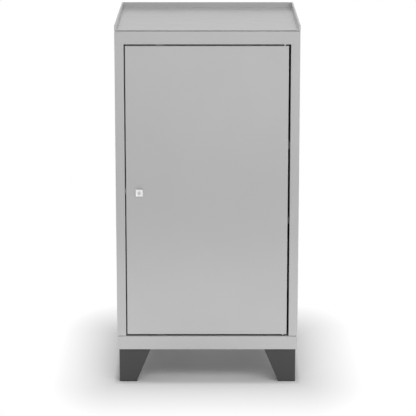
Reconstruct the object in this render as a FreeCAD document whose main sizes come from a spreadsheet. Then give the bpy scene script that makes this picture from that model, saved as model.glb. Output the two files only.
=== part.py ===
"""Side locker for a tool chest: a folded sheet-steel cabinet on four tapered legs.

One flat door sits inside the front frame and turns on two pivot pins at its right
edge.  A cam lock holds it behind a keeper at its left edge.  Two shelves hang on clips
in slotted uprights, and the top is a tray with a folded rim on three sides.

Every length is in millimetres.  X runs to the right, Y from the front to the back, and
Z up from the floor.  Each piece is drawn with Y = 0 in the plane of the door's face,
and its body is then moved so that the locker's box is centred on the origin.
"""

import FreeCAD, Part
import os
import re
import Sketcher

# Driving dimensions: alias in the sheet, value in millimetres (or a plain count).
SIZES = {
    # whole locker
    "width": 500,
    "depth": 500,
    "height": 1000,
    "leg_height": 94,
    # folded sheet
    "gauge": 1,
    "bend": 1,
    "stile_width": 25,
    "rail_height": 38.5,
    "rear_flange": 20,
    "corner_strip": 3,
    "skirt": 20,
    "tray_seam": 1.5,
    "seam_depth": 8,
    "stile_seam": 1,
    "header_return": 30,
    "header_lip": 10,
    "base_return": 25,
    # tray rim
    "lip_height": 14,
    "lip_width": 5,
    # door
    "door_thickness": 20,
    "door_lip": 15,
    "lock_gap": 3,
    "top_gap": 4,
    "bottom_gap": 5.5,
    "swing_clearance": 1.3,
    "stiffener_width": 60,
    "stiffener_depth": 14,
    "stiffener_flange": 12,
    # pivots
    "pin_edge": 10,
    "pin_diameter": 6,
    "pin_clearance": 0.05,
    "pin_reach": 8,
    "pin_tail": 2.5,
    "collar_width": 2,
    "collar_height": 3,
    "snap_size": 11,
    "snap_gauge": 0.8,
    "bush_wall": 1.2,
    "bush_flange": 1.2,
    "bush_fit": 0.05,
    "bracket_gauge": 2.5,
    "bracket_height": 30,
    "bracket_reach": 12,
    "bracket_depth": 16,
    # lock
    "lock_height": 540,
    "lock_inset": 36,
    "lock_head": 19.5,
    "lock_proud": 6,
    "lock_bevel": 1,
    "barrel_diameter": 16,
    "barrel_length": 17,
    "nut_across": 22,
    "nut_height": 4,
    "plug_diameter": 12,
    "plug_recess": 0.4,
    "keyway_width": 1.6,
    "keyway_height": 7.5,
    "keyway_depth": 9,
    "tang": 7,
    "cam_boss": 18,
    "cam_length": 44,
    "cam_width": 12,
    "cam_gauge": 2,
    "cam_clearance": 0.5,
    "screw_diameter": 4,
    "screw_head": 8,
    "screw_head_height": 2.4,
    "screw_length": 7,
    # keeper and door stops
    "keeper_height": 13,
    "keeper_gauge": 1.5,
    "keeper_gap": 0.3,
    "keeper_cover": 4,
    "keeper_foot": 14,
    "stop_inset": 82,
    "stop_width": 22,
    "stop_gauge": 1.5,
    "stop_foot": 9,
    "buffer_height": 10,
    "buffer_inset": 1,
    # shelves, uprights and clips
    "shelf_setback": 8,
    "shelf_edge": 18,
    "shelf_return": 15,
    "shelf_gap": 1,
    "shelf_back_gap": 4,
    "lower_shelf_slot": 8,
    "upper_shelf_slot": 14,
    "upright_width": 25,
    "upright_depth": 10,
    "upright_setback": 45,
    "upright_end": 3,
    "first_slot": 32.5,
    "slot_pitch": 35,
    "slot_width": 12,
    "slot_height": 5,
    "clip_gauge": 2,
    "clip_hook": 6,
    "clip_brace": 12,
    "clip_play": 0.3,
    # legs and their fasteners
    "leg_inset": 5,
    "leg_top": 87,
    "leg_foot": 49,
    "leg_gauge": 2,
    "leg_fold": 3,
    "leg_flange": 36,
    "foot_flange": 16,
    "glide_height": 3,
    "glide_inset": 0.5,
    "glide_wall": 1.5,
    "glide_hook": 2.5,
    "glide_end": 6,
    "bolt_inset": 11,
    "bolt_diameter": 8,
    "bolt_play": 0.5,
    "bolt_across": 13,
    "bolt_head": 5.5,
    "bolt_nut": 6.5,
    "bolt_end": 3,
}

# Places and lengths that follow from the driving dimensions, in the order of their use.
LAYOUT = {
    "front": "(lock_proud - depth) / 2",
    "outer_bend": "bend + gauge",
    "side_face": "width / 2",
    "side_inside": "side_face - gauge",
    "rail_end": "side_face - corner_strip",
    "opening_side": "side_face - stile_width",
    "tray_face": "height - lip_height",
    "body_top": "tray_face - gauge",
    "header_top": "body_top - tray_seam",
    "opening_top": "tray_face - rail_height",
    "opening_bottom": "leg_height + rail_height",
    "flange_face": "depth - gauge",
    "flange_inside": "depth - 2 * gauge",
    "pin_back": "door_thickness / 2",
    "hinge_gap": "sqrt(pin_edge ^ 2 + pin_back ^ 2) - pin_edge + swing_clearance",
    "door_left": "lock_gap - opening_side",
    "door_right": "opening_side - hinge_gap",
    "door_bottom": "opening_bottom + bottom_gap",
    "door_top": "opening_top - top_gap",
    "pin_x": "door_right - pin_edge",
    "pin_radius": "pin_diameter / 2",
    "bush_bore": "pin_radius + pin_clearance",
    "bush_radius": "bush_bore + bush_wall",
    "lock_x": "door_left + lock_inset",
    "keeper_front": "door_thickness + keeper_gap",
    "cam_front": "keeper_front + keeper_gauge + cam_clearance",
    "cam_back": "cam_front + cam_gauge",
    "shelf_front": "door_thickness + shelf_setback",
    "shelf_back": "flange_inside - gauge - shelf_back_gap",
    "shelf_side": "side_inside - upright_depth - shelf_gap",
    "upright_face": "side_inside - upright_depth",
    "front_upright": "shelf_front + upright_setback",
    "rear_upright": "shelf_back - upright_setback",
    "upright_bottom": "opening_bottom + upright_end",
    "upright_top": "body_top - skirt - upright_end",
    "slot_base": "opening_bottom + first_slot",
    "slot_count": "floor((upright_top - slot_base - slot_height) / slot_pitch) + 1",
    "leg_side": "side_face - leg_inset",
    "glide_face": "glide_height + leg_gauge",
    "bolt_reach": "leg_inset + bolt_inset",
}

# Signs of the two sides and the two ends of the locker.
SIDES = {"left": -1, "right": 1}
ENDS = {"front": 1, "rear": -1}

NAME = re.compile(r"[a-z][a-z_]*")
TOLERANCE = 1e-4

doc = FreeCAD.newDocument("tool_chest_side_locker")
calculator = doc.addObject("Spreadsheet::Sheet", "Calculator")


def formula(text):
    """Return a formula with every size pointing at its cell."""

    def cell(found):
        name = found.group()
        if name in SIZES:
            return "Sizes." + name
        return "Layout." + name if name in LAYOUT else name

    return NAME.sub(cell, str(text))


def number(text):
    """Return what a formula comes to with the sizes as they stand."""
    calculator.set("A1", "=" + formula(text))
    calculator.recompute()
    return float(calculator.get("A1"))


def write_sheets():
    """Make the sheet of driving dimensions and the sheet that follows from it."""
    sizes = doc.addObject("Spreadsheet::Sheet", "Sizes")
    for row, (alias, value) in enumerate(SIZES.items(), start=1):
        sizes.set("A%d" % row, alias.replace("_", " "))
        sizes.set("B%d" % row, str(value))
        sizes.setAlias("B%d" % row, alias)
    doc.recompute()
    layout = doc.addObject("Spreadsheet::Sheet", "Layout")
    for row, (alias, text) in enumerate(LAYOUT.items(), start=1):
        layout.set("A%d" % row, alias.replace("_", " "))
        layout.set("B%d" % row, "=" + formula(text))
        layout.setAlias("B%d" % row, alias)
        doc.recompute()


def rear_corners(inset):
    """Return the upright lines of the two rear corners of a pan between the side walls."""
    return [("%d * (side_inside - %s)" % (sign, inset), "flange_inside - %s" % inset)
            for sign in SIDES.values()]


class Sketch:
    """A sketch whose points are tied to the sheets by signed distances from its origin."""

    def __init__(self, body, plane, offset):
        self.item = body.newObject("Sketcher::SketchObject", "sketch")
        planes = [part for part in body.Origin.OriginFeatures if part.Role == plane + "_Plane"]
        self.item.AttachmentSupport = (planes[0], "")
        self.item.MapMode = "FlatFace"
        self.item.setExpression("AttachmentOffset.Base.z", formula(offset))

    def hold(self, kind, line, point, text):
        """Tie one coordinate of a point to a formula."""
        constraint = Sketcher.Constraint(kind, -1, 1, line, point, number(text))
        index = self.item.addConstraint(constraint)
        self.item.setExpression("Constraints[%d]" % index, formula(text))

    def polygon(self, points):
        """Draw a closed outline through points given as pairs of formulas."""
        corners = [FreeCAD.Vector(number(across), number(up), 0) for across, up in points]
        first = self.item.GeometryCount
        count = len(corners)
        for index, corner in enumerate(corners):
            following = corners[(index + 1) % count]
            self.item.addGeometry(Part.LineSegment(corner, following))
        for index, (across, up) in enumerate(points):
            line = first + index
            following = first + (index + 1) % count
            self.item.addConstraint(Sketcher.Constraint("Coincident", line, 2, following, 1))
            self.hold("DistanceX", line, 1, across)
            self.hold("DistanceY", line, 1, up)

    def circle(self, across, up, radius):
        """Draw a circle round a point."""
        centre = FreeCAD.Vector(number(across), number(up), 0)
        up_axis = FreeCAD.Vector(0, 0, 1)
        line = self.item.addGeometry(Part.Circle(centre, up_axis, number(radius)))
        self.hold("DistanceX", line, 3, across)
        self.hold("DistanceY", line, 3, up)
        index = self.item.addConstraint(Sketcher.Constraint("Radius", line, number(radius)))
        self.item.setExpression("Constraints[%d]" % index, formula(radius))


def polygon(*points):
    """Return an outline through the given points."""
    return lambda sketch: sketch.polygon(points)


def rectangle(left, bottom, right, top):
    """Return a rectangle between two opposite corners."""
    return polygon((left, bottom), (right, bottom), (right, top), (left, top))


def circle(across, up, radius):
    """Return a circle."""
    return lambda sketch: sketch.circle(across, up, radius)


def hexagon(across, up, width):
    """Return a hexagon of the given width across its flats."""
    points = []
    for angle in range(0, 360, 60):
        reach = "(%s) / sqrt(3)" % width
        place_across = "(%s) + %s * cos(%ddeg)" % (across, reach, angle)
        place_up = "(%s) + %s * sin(%ddeg)" % (up, reach, angle)
        points.append((place_across, place_up))
    return polygon(*points)


class Piece:
    """One sub-part: a body built up by pads, pockets and rounded edges.

    A pad or pocket lies between two levels on the axis that its plane faces: Z for
    the XY plane, Y for the XZ plane and X for the YZ plane.
    """

    every = []

    def __init__(self, label, across="0", up="0", solids=1):
        self.body = doc.addObject("PartDesign::Body", "Body")
        self.body.Label = label
        self.body.AllowCompound = solids != 1
        self.body.setExpression("Placement.Base.x", formula(across))
        self.body.setExpression("Placement.Base.y", formula("front"))
        self.body.setExpression("Placement.Base.z", formula(up))
        self.solids = solids
        Piece.every.append(self)

    def sketch(self, plane, offset, outlines):
        """Make a sketch at an offset along the normal of one of the body's planes."""
        sketch = Sketch(self.body, plane, offset)
        for outline in outlines:
            outline(sketch)
        return sketch.item

    def pad(self, plane, low, high, *outlines):
        """Add material between two levels."""
        start = "-(%s)" % high if plane == "XZ" else low
        pad = self.body.newObject("PartDesign::Pad", "pad")
        pad.Profile = self.sketch(plane, start, outlines)
        pad.setExpression("Length", formula("(%s) - (%s)" % (high, low)))
        doc.recompute()
        return pad

    def pocket(self, plane, low, high, *outlines):
        """Cut material away between two levels, and see that some was cut."""
        before = self.body.Shape.Volume
        start = "-(%s)" % low if plane == "XZ" else high
        pocket = self.body.newObject("PartDesign::Pocket", "pocket")
        pocket.Profile = self.sketch(plane, start, outlines)
        pocket.setExpression("Length", formula("(%s) - (%s)" % (high, low)))
        doc.recompute()
        if not self.body.Shape.Volume < before:
            raise ValueError("a pocket of %s cuts nothing" % self.body.Label)
        return pocket

    def turn(self, *points):
        """Turn an outline of (radius, height) points about the body's Z axis."""
        revolution = self.body.newObject("PartDesign::Revolution", "turned")
        sketch = self.sketch("XZ", "0", [polygon(*points)])
        revolution.Profile = sketch
        revolution.ReferenceAxis = (sketch, ["V_Axis"])
        revolution.Angle = 360
        doc.recompute()

    def repeat(self, features, axis, step, count):
        """Repeat features along an axis of the body's own frame."""
        pattern = self.body.newObject("PartDesign::LinearPattern", "row")
        pattern.Originals = features
        lines = [part for part in self.body.Origin.OriginFeatures if part.Role == axis + "_Axis"]
        pattern.Direction = (lines[0], [""])
        pattern.setExpression("Length", formula("(%s) * ((%s) - 1)" % (step, count)))
        pattern.setExpression("Occurrences", formula(count))
        self.body.Tip = pattern
        doc.recompute()

    def edges_along(self, axis, lines):
        """Return the names of the straight edges that lie on lines parallel to an axis."""
        across = [index for index in range(3) if index != "XYZ".index(axis)]
        wanted = [(number(first), number(second)) for first, second in lines]
        names = []
        for index, edge in enumerate(self.body.Tip.Shape.Edges, start=1):
            ends = [vertex.Point for vertex in edge.Vertexes]
            for line in wanted:
                offsets = [abs(end[way] - at) for end in ends for way, at in zip(across, line)]
                if len(ends) == 2 and max(offsets) < TOLERANCE:
                    names.append("Edge%d" % index)
        return names

    def edges_at(self, axis, level):
        """Return the names of the edges that lie in the plane at a level of an axis."""
        way = "XYZ".index(axis)
        height = number(level)
        names = []
        for index, edge in enumerate(self.body.Tip.Shape.Edges, start=1):
            box = edge.BoundBox
            low = (box.XMin, box.YMin, box.ZMin)[way]
            high = (box.XMax, box.YMax, box.ZMax)[way]
            if abs(low - height) < TOLERANCE and abs(high - height) < TOLERANCE:
                names.append("Edge%d" % index)
        return names

    def round(self, names, radius):
        """Round the named edges of the body."""
        if not names:
            raise ValueError("no edge of %s to round" % self.body.Label)
        base = self.body.Tip
        fillet = self.body.newObject("PartDesign::Fillet", "rounded")
        fillet.Base = (base, names)
        fillet.setExpression("Radius", formula(radius))
        doc.recompute()

    def bevel(self, names, size):
        """Cut the named edges of the body off at 45 degrees."""
        if not names:
            raise ValueError("no edge of %s to bevel" % self.body.Label)
        base = self.body.Tip
        chamfer = self.body.newObject("PartDesign::Chamfer", "bevelled")
        chamfer.Base = (base, names)
        chamfer.setExpression("Size", formula(size))
        doc.recompute()

    def fold(self, axis, outside, inside):
        """Round the outer and the inner line of each fold in the sheet."""
        self.round(self.edges_along(axis, outside), "outer_bend")
        self.round(self.edges_along(axis, inside), "bend")


# ---------------------------------------------------------------- carcass


def side_panel(side):
    """Fold a side wall with its stile, the stile's return and the rear flange."""
    sign = SIDES[side]

    def at(text):
        return "%d * (%s)" % (sign, text)

    panel = Piece(side + "_side_panel")
    panel.pad("XY", "leg_height", "body_top", polygon(
        (at("opening_side"), "door_thickness"),
        (at("opening_side"), "0"),
        (at("side_face"), "0"),
        (at("side_face"), "flange_face"),
        (at("side_face - rear_flange"), "flange_face"),
        (at("side_face - rear_flange"), "flange_inside"),
        (at("side_inside"), "flange_inside"),
        (at("side_inside"), "gauge"),
        (at("opening_side + gauge"), "gauge"),
        (at("opening_side + gauge"), "door_thickness")))
    panel.fold(
        "Z",
        [(at("opening_side"), "0"), (at("side_face"), "0"), (at("side_face"), "flange_face")],
        [(at("opening_side + gauge"), "gauge"), (at("side_inside"), "gauge"),
         (at("side_inside"), "flange_inside")])
    notch = rectangle(
        at("opening_side - gauge"), "-gauge", at("rail_end"), "door_thickness + gauge")
    panel.pocket("XY", "leg_height", "opening_bottom + stile_seam", notch)
    panel.pocket("XY", "opening_top", "body_top", notch)


def back_panel():
    """Cut the flat back that is welded on the side panels' rear flanges."""
    panel = Piece("back_panel")
    reach = "side_face - outer_bend - gauge"
    panel.pad("XZ", "flange_face", "depth", rectangle(
        "-(%s)" % reach, "leg_height", reach, "body_top"))


def top_panel():
    """Fold the ceiling with its skirts and the header rail over the door."""
    panel = Piece("top_panel")
    skirt_bottom = "body_top - skirt"
    panel.pad("XY", skirt_bottom, "body_top", rectangle(
        "-side_inside", "seam_depth", "side_inside", "flange_inside"))
    panel.pocket("XY", skirt_bottom, "body_top - gauge", rectangle(
        "gauge - side_inside", "0", "side_inside - gauge", "flange_inside - gauge"))
    panel.fold("Z", rear_corners("0"), rear_corners("gauge"))
    lip_top = "opening_top + header_lip"
    panel.pad("YZ", "-rail_end", "rail_end", polygon(
        ("0", lip_top),
        ("0", "header_top"),
        ("seam_depth", "header_top"),
        ("seam_depth", "body_top"),
        ("seam_depth + gauge", "body_top"),
        ("seam_depth + gauge", "header_top - gauge"),
        ("gauge", "header_top - gauge"),
        ("gauge", lip_top)))
    panel.fold("X", [("0", "header_top")], [("gauge", "header_top - gauge")])
    panel.pad("YZ", "-opening_side", "opening_side", polygon(
        ("0", "opening_top"),
        ("0", lip_top),
        ("gauge", lip_top),
        ("gauge", "opening_top + gauge"),
        ("header_return - gauge", "opening_top + gauge"),
        ("header_return - gauge", lip_top),
        ("header_return", lip_top),
        ("header_return", "opening_top")))
    panel.fold(
        "X",
        [("0", "opening_top"), ("header_return", "opening_top")],
        [("gauge", "opening_top + gauge"), ("header_return - gauge", "opening_top + gauge")])
    for sign in SIDES.values():
        ends = sorted(["%d * opening_side" % sign, "%d * rail_end" % sign], key=number)
        panel.pad("YZ", ends[0], ends[1], rectangle("0", "opening_top", "gauge", lip_top))
    panel.pocket("XY", "opening_top", "opening_top + gauge", circle(
        "pin_x", "pin_back", "bush_radius + bush_fit"))


def leg_bolt_places():
    """Return the places of the bolts that hold the legs."""
    places = []
    for end in ENDS:
        for sign in SIDES.values():
            depth = "bolt_reach" if end == "front" else "depth - bolt_reach"
            places.append(("%d * (side_face - bolt_reach)" % sign, depth))
    return places


def floor_pan():
    """Fold the floor with the bottom rail in front and returns that the legs bolt to."""
    pan = Piece("floor_pan")
    pan.pad("XY", "leg_height", "opening_bottom", rectangle(
        "-side_inside", "corner_strip", "side_inside", "flange_inside"))
    pan.pocket("XY", "leg_height + gauge", "opening_bottom - gauge", rectangle(
        "gauge - side_inside", "0", "side_inside - gauge", "flange_inside - gauge"))
    pan.fold("Z", rear_corners("0"), rear_corners("gauge"))
    pan.pocket("XY", "leg_height", "leg_height + gauge", rectangle(
        "base_return - side_inside", "base_return",
        "side_inside - base_return", "flange_inside - base_return"))
    pan.pad("YZ", "-rail_end", "rail_end", polygon(
        ("0", "leg_height"),
        ("0", "opening_bottom"),
        ("3 * corner_strip", "opening_bottom"),
        ("3 * corner_strip", "opening_bottom - gauge"),
        ("gauge", "opening_bottom - gauge"),
        ("gauge", "leg_height + gauge"),
        ("base_return", "leg_height + gauge"),
        ("base_return", "leg_height")))
    pan.fold(
        "X",
        [("0", "leg_height"), ("0", "opening_bottom")],
        [("gauge", "leg_height + gauge"), ("gauge", "opening_bottom - gauge")])
    pan.pocket("XY", "opening_bottom - gauge", "opening_bottom", circle(
        "pin_x", "pin_back", "bush_radius + bush_fit"))
    pan.pocket("XY", "leg_height", "leg_height + gauge", *[
        circle(across, along, "bolt_diameter / 2 + bolt_play")
        for across, along in leg_bolt_places()])


def top_tray():
    """Fold the top: a flat plate whose rim stands up and turns down on three sides."""
    tray = Piece("top_tray")
    tray.pad("XY", "body_top", "tray_face", rectangle("-side_face", "0", "side_face", "depth"))
    inner_side = "side_face - lip_width"
    tray.pad("XY", "tray_face", "height", polygon(
        ("-side_face", "0"), ("-side_face", "depth"), ("side_face", "depth"),
        ("side_face", "0"), (inner_side, "0"), (inner_side, "depth - lip_width"),
        ("-(%s)" % inner_side, "depth - lip_width"), ("-(%s)" % inner_side, "0")))
    hollow_side = "side_face - lip_width + gauge"
    tray.pocket("XY", "body_top", "height - gauge", polygon(
        ("-side_inside", "gauge"), ("-side_inside", "depth - gauge"),
        ("side_inside", "depth - gauge"), ("side_inside", "gauge"), (hollow_side, "gauge"),
        (hollow_side, "depth - lip_width + gauge"),
        ("-(%s)" % hollow_side, "depth - lip_width + gauge"), ("-(%s)" % hollow_side, "gauge")))
    rim_lines = [("%d * side_face" % sign, "height") for sign in SIDES.values()]
    rim_lines += [("%d * (%s)" % (sign, inner_side), "height") for sign in SIDES.values()]
    names = tray.edges_along("Y", rim_lines)
    names += tray.edges_along("X", [("depth", "height"), ("depth - lip_width", "height")])
    tray.round(names, "bend")


# ---------------------------------------------------------------- shelves


def upright(side, end):
    """Fold a slotted channel that stands against a side wall."""
    sign = SIDES[side]
    middle = end + "_upright"

    def at(text):
        return "%d * (%s)" % (sign, text)

    low = "%s - upright_width / 2" % middle
    high = "%s + upright_width / 2" % middle
    channel = Piece("%s_%s_upright" % (end, side))
    channel.pad("XY", "upright_bottom", "upright_top", polygon(
        (at("side_inside"), low),
        (at("upright_face"), low),
        (at("upright_face"), high),
        (at("side_inside"), high),
        (at("side_inside"), high + " - gauge"),
        (at("upright_face + gauge"), high + " - gauge"),
        (at("upright_face + gauge"), low + " + gauge"),
        (at("side_inside"), low + " + gauge")))
    channel.round(
        channel.edges_along("Z", [(at("upright_face"), low), (at("upright_face"), high)]), "bend")
    faces = [at("upright_face"), at("upright_face + gauge")]
    faces.sort(key=number)
    slot = channel.pocket("YZ", faces[0], faces[1], rectangle(
        "%s - slot_width / 2" % middle, "slot_base",
        "%s + slot_width / 2" % middle, "slot_base + slot_height"))
    channel.repeat([slot], "Z", "slot_pitch", "slot_count")


def shelf(level):
    """Fold a shelf: a tray turned over, with returns under its four edges."""
    ledge = "slot_base + %s_shelf_slot * slot_pitch + clip_gauge" % level
    top = ledge + " + shelf_edge"
    board = Piece(level + "_shelf")
    board.pad("XY", ledge, top, rectangle(
        "-shelf_side", "shelf_front", "shelf_side", "shelf_back"))
    board.pocket("XY", ledge + " + gauge", top + " - gauge", rectangle(
        "gauge - shelf_side", "shelf_front + gauge", "shelf_side - gauge", "shelf_back - gauge"))
    board.pocket("XY", ledge, ledge + " + gauge", rectangle(
        "shelf_return - shelf_side", "shelf_front + shelf_return",
        "shelf_side - shelf_return", "shelf_back - shelf_return"))
    names = board.edges_along("X", [("shelf_front", top), ("shelf_back", top)])
    names += board.edges_along("Y", [("-shelf_side", top), ("shelf_side", top)])
    board.round(names, "outer_bend")


def shelf_clips(level):
    """Bend the four clips of a shelf, each hooked through a slot of its upright."""
    slot = "slot_base + %s_shelf_slot * slot_pitch" % level
    clips = Piece(level + "_shelf_clips", solids=4)
    hook = "upright_face + gauge + clip_play"
    brace = "upright_face - clip_play"
    for sign in SIDES.values():
        points = [
            (hook + " + clip_gauge", slot + " - clip_hook"),
            (hook, slot + " - clip_hook"),
            (hook, slot),
            (brace, slot),
            (brace, slot + " - clip_brace"),
            (brace + " - clip_gauge", slot + " - clip_brace"),
            (brace + " - clip_gauge", slot),
            ("shelf_side - shelf_return + gauge", slot),
            ("shelf_side - shelf_return + gauge", slot + " + clip_gauge"),
            (hook + " + clip_gauge", slot + " + clip_gauge"),
        ]
        outline = polygon(*[("%d * (%s)" % (sign, across), up) for across, up in points])
        for middle in ("front_upright", "rear_upright"):
            clips.pad(
                "XZ", middle + " - slot_width / 2 + clip_play",
                middle + " + slot_width / 2 - clip_play", outline)


# ---------------------------------------------------------------- legs


def leg(side, end):
    """Fold a tapered leg with a flange under the cabinet and one over its glide."""
    sign = SIDES[side]

    def at(text):
        return "%d * (%s)" % (sign, text)

    def along(text):
        return text if end == "front" else "depth - (%s)" % text

    def between(near, far):
        return (near, far) if end == "front" else (along(far), along(near))

    post = Piece("%s_%s_leg" % (end, side))
    front_low, front_high = between("leg_inset", "leg_inset + leg_gauge")
    post.pad("XZ", front_low, front_high, polygon(
        (at("leg_side"), "glide_height"),
        (at("leg_side"), "leg_height"),
        (at("leg_side - leg_top"), "leg_height"),
        (at("leg_side - leg_foot"), "glide_height")))
    levels = [at("leg_side"), at("leg_side - leg_gauge")]
    levels.sort(key=number)
    post.pad("YZ", levels[0], levels[1], polygon(
        (along("leg_inset"), "glide_height"),
        (along("leg_inset"), "leg_height"),
        (along("leg_inset + leg_top"), "leg_height"),
        (along("leg_inset + leg_foot"), "glide_height")))
    flanges = (
        ("leg_height - leg_gauge", "leg_height", "leg_top", "leg_flange"),
        ("glide_height", "glide_face", "leg_foot", "foot_flange"),
    )
    for low, high, length, width in flanges:
        post.pad("XY", low, high, polygon(
            (at("leg_side"), along("leg_inset")),
            (at("leg_side - " + length), along("leg_inset")),
            (at("leg_side - " + length), along("leg_inset + leg_gauge")),
            (at("leg_side - %s + %s / 3" % (length, width)), along("leg_inset + " + width)),
            (at("leg_side - " + width), along("leg_inset + %s - %s / 3" % (length, width))),
            (at("leg_side - leg_gauge"), along("leg_inset + " + length)),
            (at("leg_side"), along("leg_inset + " + length))))
    post.round(post.edges_along("Z", [(at("leg_side"), along("leg_inset"))]), "leg_fold")
    names = post.edges_along("X", [(along("leg_inset"), "leg_height")])
    names += post.edges_along("Y", [(at("leg_side"), "leg_height")])
    post.round(names, "leg_fold")
    post.pocket("XY", "leg_height - leg_gauge", "leg_height", circle(
        at("side_face - bolt_reach"), along("bolt_reach"), "bolt_diameter / 2 + bolt_play"))


def glide(side, end):
    """Mould the plastic glide that hooks over the slanting edge of a leg's foot."""
    sign = SIDES[side]

    def at(text):
        return "%d * (side_face - (%s))" % (sign, text)

    def along(text):
        return text if end == "front" else "depth - (%s)" % text

    def outline(*points):
        return polygon(*[(at(across), along(inward)) for across, inward in points])

    def strip(near, far):
        """Outline a strip along the foot's slanting edge, between two shifts from it."""
        long = "leg_inset + leg_foot - foot_flange / 3 - glide_end"
        short = "leg_inset + foot_flange + glide_end"
        return outline(
            ("%s + %s" % (long, near), "%s + %s" % (short, near)),
            ("%s + %s" % (long, far), "%s + %s" % (short, far)),
            ("%s + %s" % (short, far), "%s + %s" % (long, far)),
            ("%s + %s" % (short, near), "%s + %s" % (long, near)))

    foot = Piece("%s_%s_glide" % (end, side))
    near = "leg_inset + glide_inset"
    far = "leg_inset + leg_foot - glide_inset"
    foot.pad("XY", "0", "glide_height", outline(
        (near, near), (far, near), (far, "leg_inset + foot_flange"),
        ("leg_inset + foot_flange", far), (near, far)))
    hook_base = "glide_face + clip_play"
    hook_top = hook_base + " + glide_wall"
    foot.pad("XY", "glide_height", hook_top, strip("clip_play", "(clip_play + glide_wall)"))
    foot.pad("XY", hook_base, hook_top, strip("(-glide_hook)", "(clip_play + glide_wall)"))


def leg_bolts():
    """Make the bolts whose heads lie under the legs' flanges."""
    places = leg_bolt_places()
    bolts = Piece("leg_bolts", solids=len(places))
    under = "leg_height - leg_gauge"
    bolts.pad("XY", under + " - bolt_head", under, *[
        hexagon(across, along, "bolt_across") for across, along in places])
    bolts.pad("XY", under, "leg_height + gauge + bolt_nut + bolt_end", *[
        circle(across, along, "bolt_diameter / 2") for across, along in places])


def leg_nuts():
    """Make the nuts that lie on the floor pan's returns."""
    places = leg_bolt_places()
    nuts = Piece("leg_nuts", solids=len(places))
    low = "leg_height + gauge"
    nuts.pad("XY", low, low + " + bolt_nut", *[
        hexagon(across, along, "bolt_across") for across, along in places])
    nuts.pocket("XY", low, low + " + bolt_nut", *[
        circle(across, along, "bolt_diameter / 2 + pin_clearance") for across, along in places])


# ---------------------------------------------------------------- door


def door_skin():
    """Fold the door: a flat pan with flanges and returns round its four edges."""
    skin = Piece("door_skin")
    skin.pad("XZ", "0", "door_thickness", rectangle(
        "door_left", "door_bottom", "door_right", "door_top"))
    skin.pocket("XZ", "gauge", "door_thickness - gauge", rectangle(
        "door_left + gauge", "door_bottom + gauge", "door_right - gauge", "door_top - gauge"))
    skin.pocket("XZ", "door_thickness - gauge", "door_thickness", rectangle(
        "door_left + door_lip", "door_bottom + door_lip",
        "door_right - door_lip", "door_top - door_lip"))
    skin.round(skin.edges_at("Y", "0"), "outer_bend")
    skin.pocket("XZ", "0", "gauge", circle(
        "lock_x", "lock_height", "barrel_diameter / 2 + bush_fit"))
    pin_hole = circle("pin_x", "pin_back", "bush_bore")
    skin.pocket("XY", "door_bottom", "door_bottom + gauge", pin_hole)
    skin.pocket("XY", "door_top - gauge", "door_top", pin_hole)


def door_stiffener():
    """Fold the hat channel that stiffens the door's skin from behind."""
    hat = Piece("door_stiffener")
    middle = "(door_left + door_right) / 2"
    outer = "stiffener_width / 2"
    web = outer + " - stiffener_flange"
    depth = "gauge + stiffener_depth"
    points = [
        (outer, "gauge"),
        (outer, "2 * gauge"),
        (web, "2 * gauge"),
        (web, depth),
    ]
    inner = [
        (web + " - gauge", depth + " - gauge"),
        (web + " - gauge", "gauge"),
    ]
    ring = [("%s + (%s)" % (middle, across), along) for across, along in points]
    ring += [("%s - (%s)" % (middle, across), along) for across, along in reversed(points)]
    ring += [("%s - (%s)" % (middle, across), along) for across, along in reversed(inner)]
    ring += [("%s + (%s)" % (middle, across), along) for across, along in inner]
    hat.pad("XY", "door_bottom + 2 * door_lip", "door_top - 2 * door_lip", polygon(*ring))
    lines = [("%s + %d * (%s)" % (middle, sign, web), depth) for sign in SIDES.values()]
    hat.round(hat.edges_along("Z", lines), "bend")


def hinge_bracket(level):
    """Bend the angle in a corner of the door whose arm holds a pivot pin."""
    edge, inward = ("door_top", -1) if level == "upper" else ("door_bottom", 1)

    def up(text):
        return "%s + %d * (%s)" % (edge, inward, text)

    web_face = "door_right - gauge"
    reach = "pin_x - bracket_reach"
    bracket = Piece(level + "_hinge_bracket")
    bracket.pad("XZ", "gauge", "gauge + bracket_depth", polygon(
        (web_face, up("outer_bend")),
        (web_face, up("bracket_height")),
        (reach, up("bracket_height")),
        (reach, up("bracket_height - bracket_gauge")),
        (web_face + " - bracket_gauge", up("bracket_height - bracket_gauge")),
        (web_face + " - bracket_gauge", up("outer_bend"))))
    bracket.round(bracket.edges_along("Y", [(web_face, up("bracket_height"))]), "bracket_gauge")
    levels = [up("bracket_height - bracket_gauge"), up("bracket_height")]
    levels.sort(key=number)
    bracket.pocket("XY", levels[0], levels[1], circle("pin_x", "pin_back", "bush_bore"))


def hinge_pin(level):
    """Turn a pivot pin whose collar bears on the arm of its bracket."""
    edge, inward, gap = ("door_top", -1, "top_gap")
    if level == "lower":
        edge, inward, gap = ("door_bottom", 1, "bottom_gap")
    pin = Piece(level + "_hinge_pin", "pin_x")
    pin.body.setExpression("Placement.Base.y", formula("front + pin_back"))
    tip = "-(%s + gauge + pin_reach)" % gap
    collar = "bracket_height - bracket_gauge"
    steps = [
        ("0", tip),
        ("pin_radius", tip),
        ("pin_radius", collar + " - collar_height"),
        ("pin_radius + collar_width", collar + " - collar_height"),
        ("pin_radius + collar_width", collar),
        ("pin_radius", collar),
        ("pin_radius", "bracket_height + pin_tail"),
        ("0", "bracket_height + pin_tail"),
    ]
    pin.turn(*[(radius, "%s + %d * (%s)" % (edge, inward, up)) for radius, up in steps])


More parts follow.
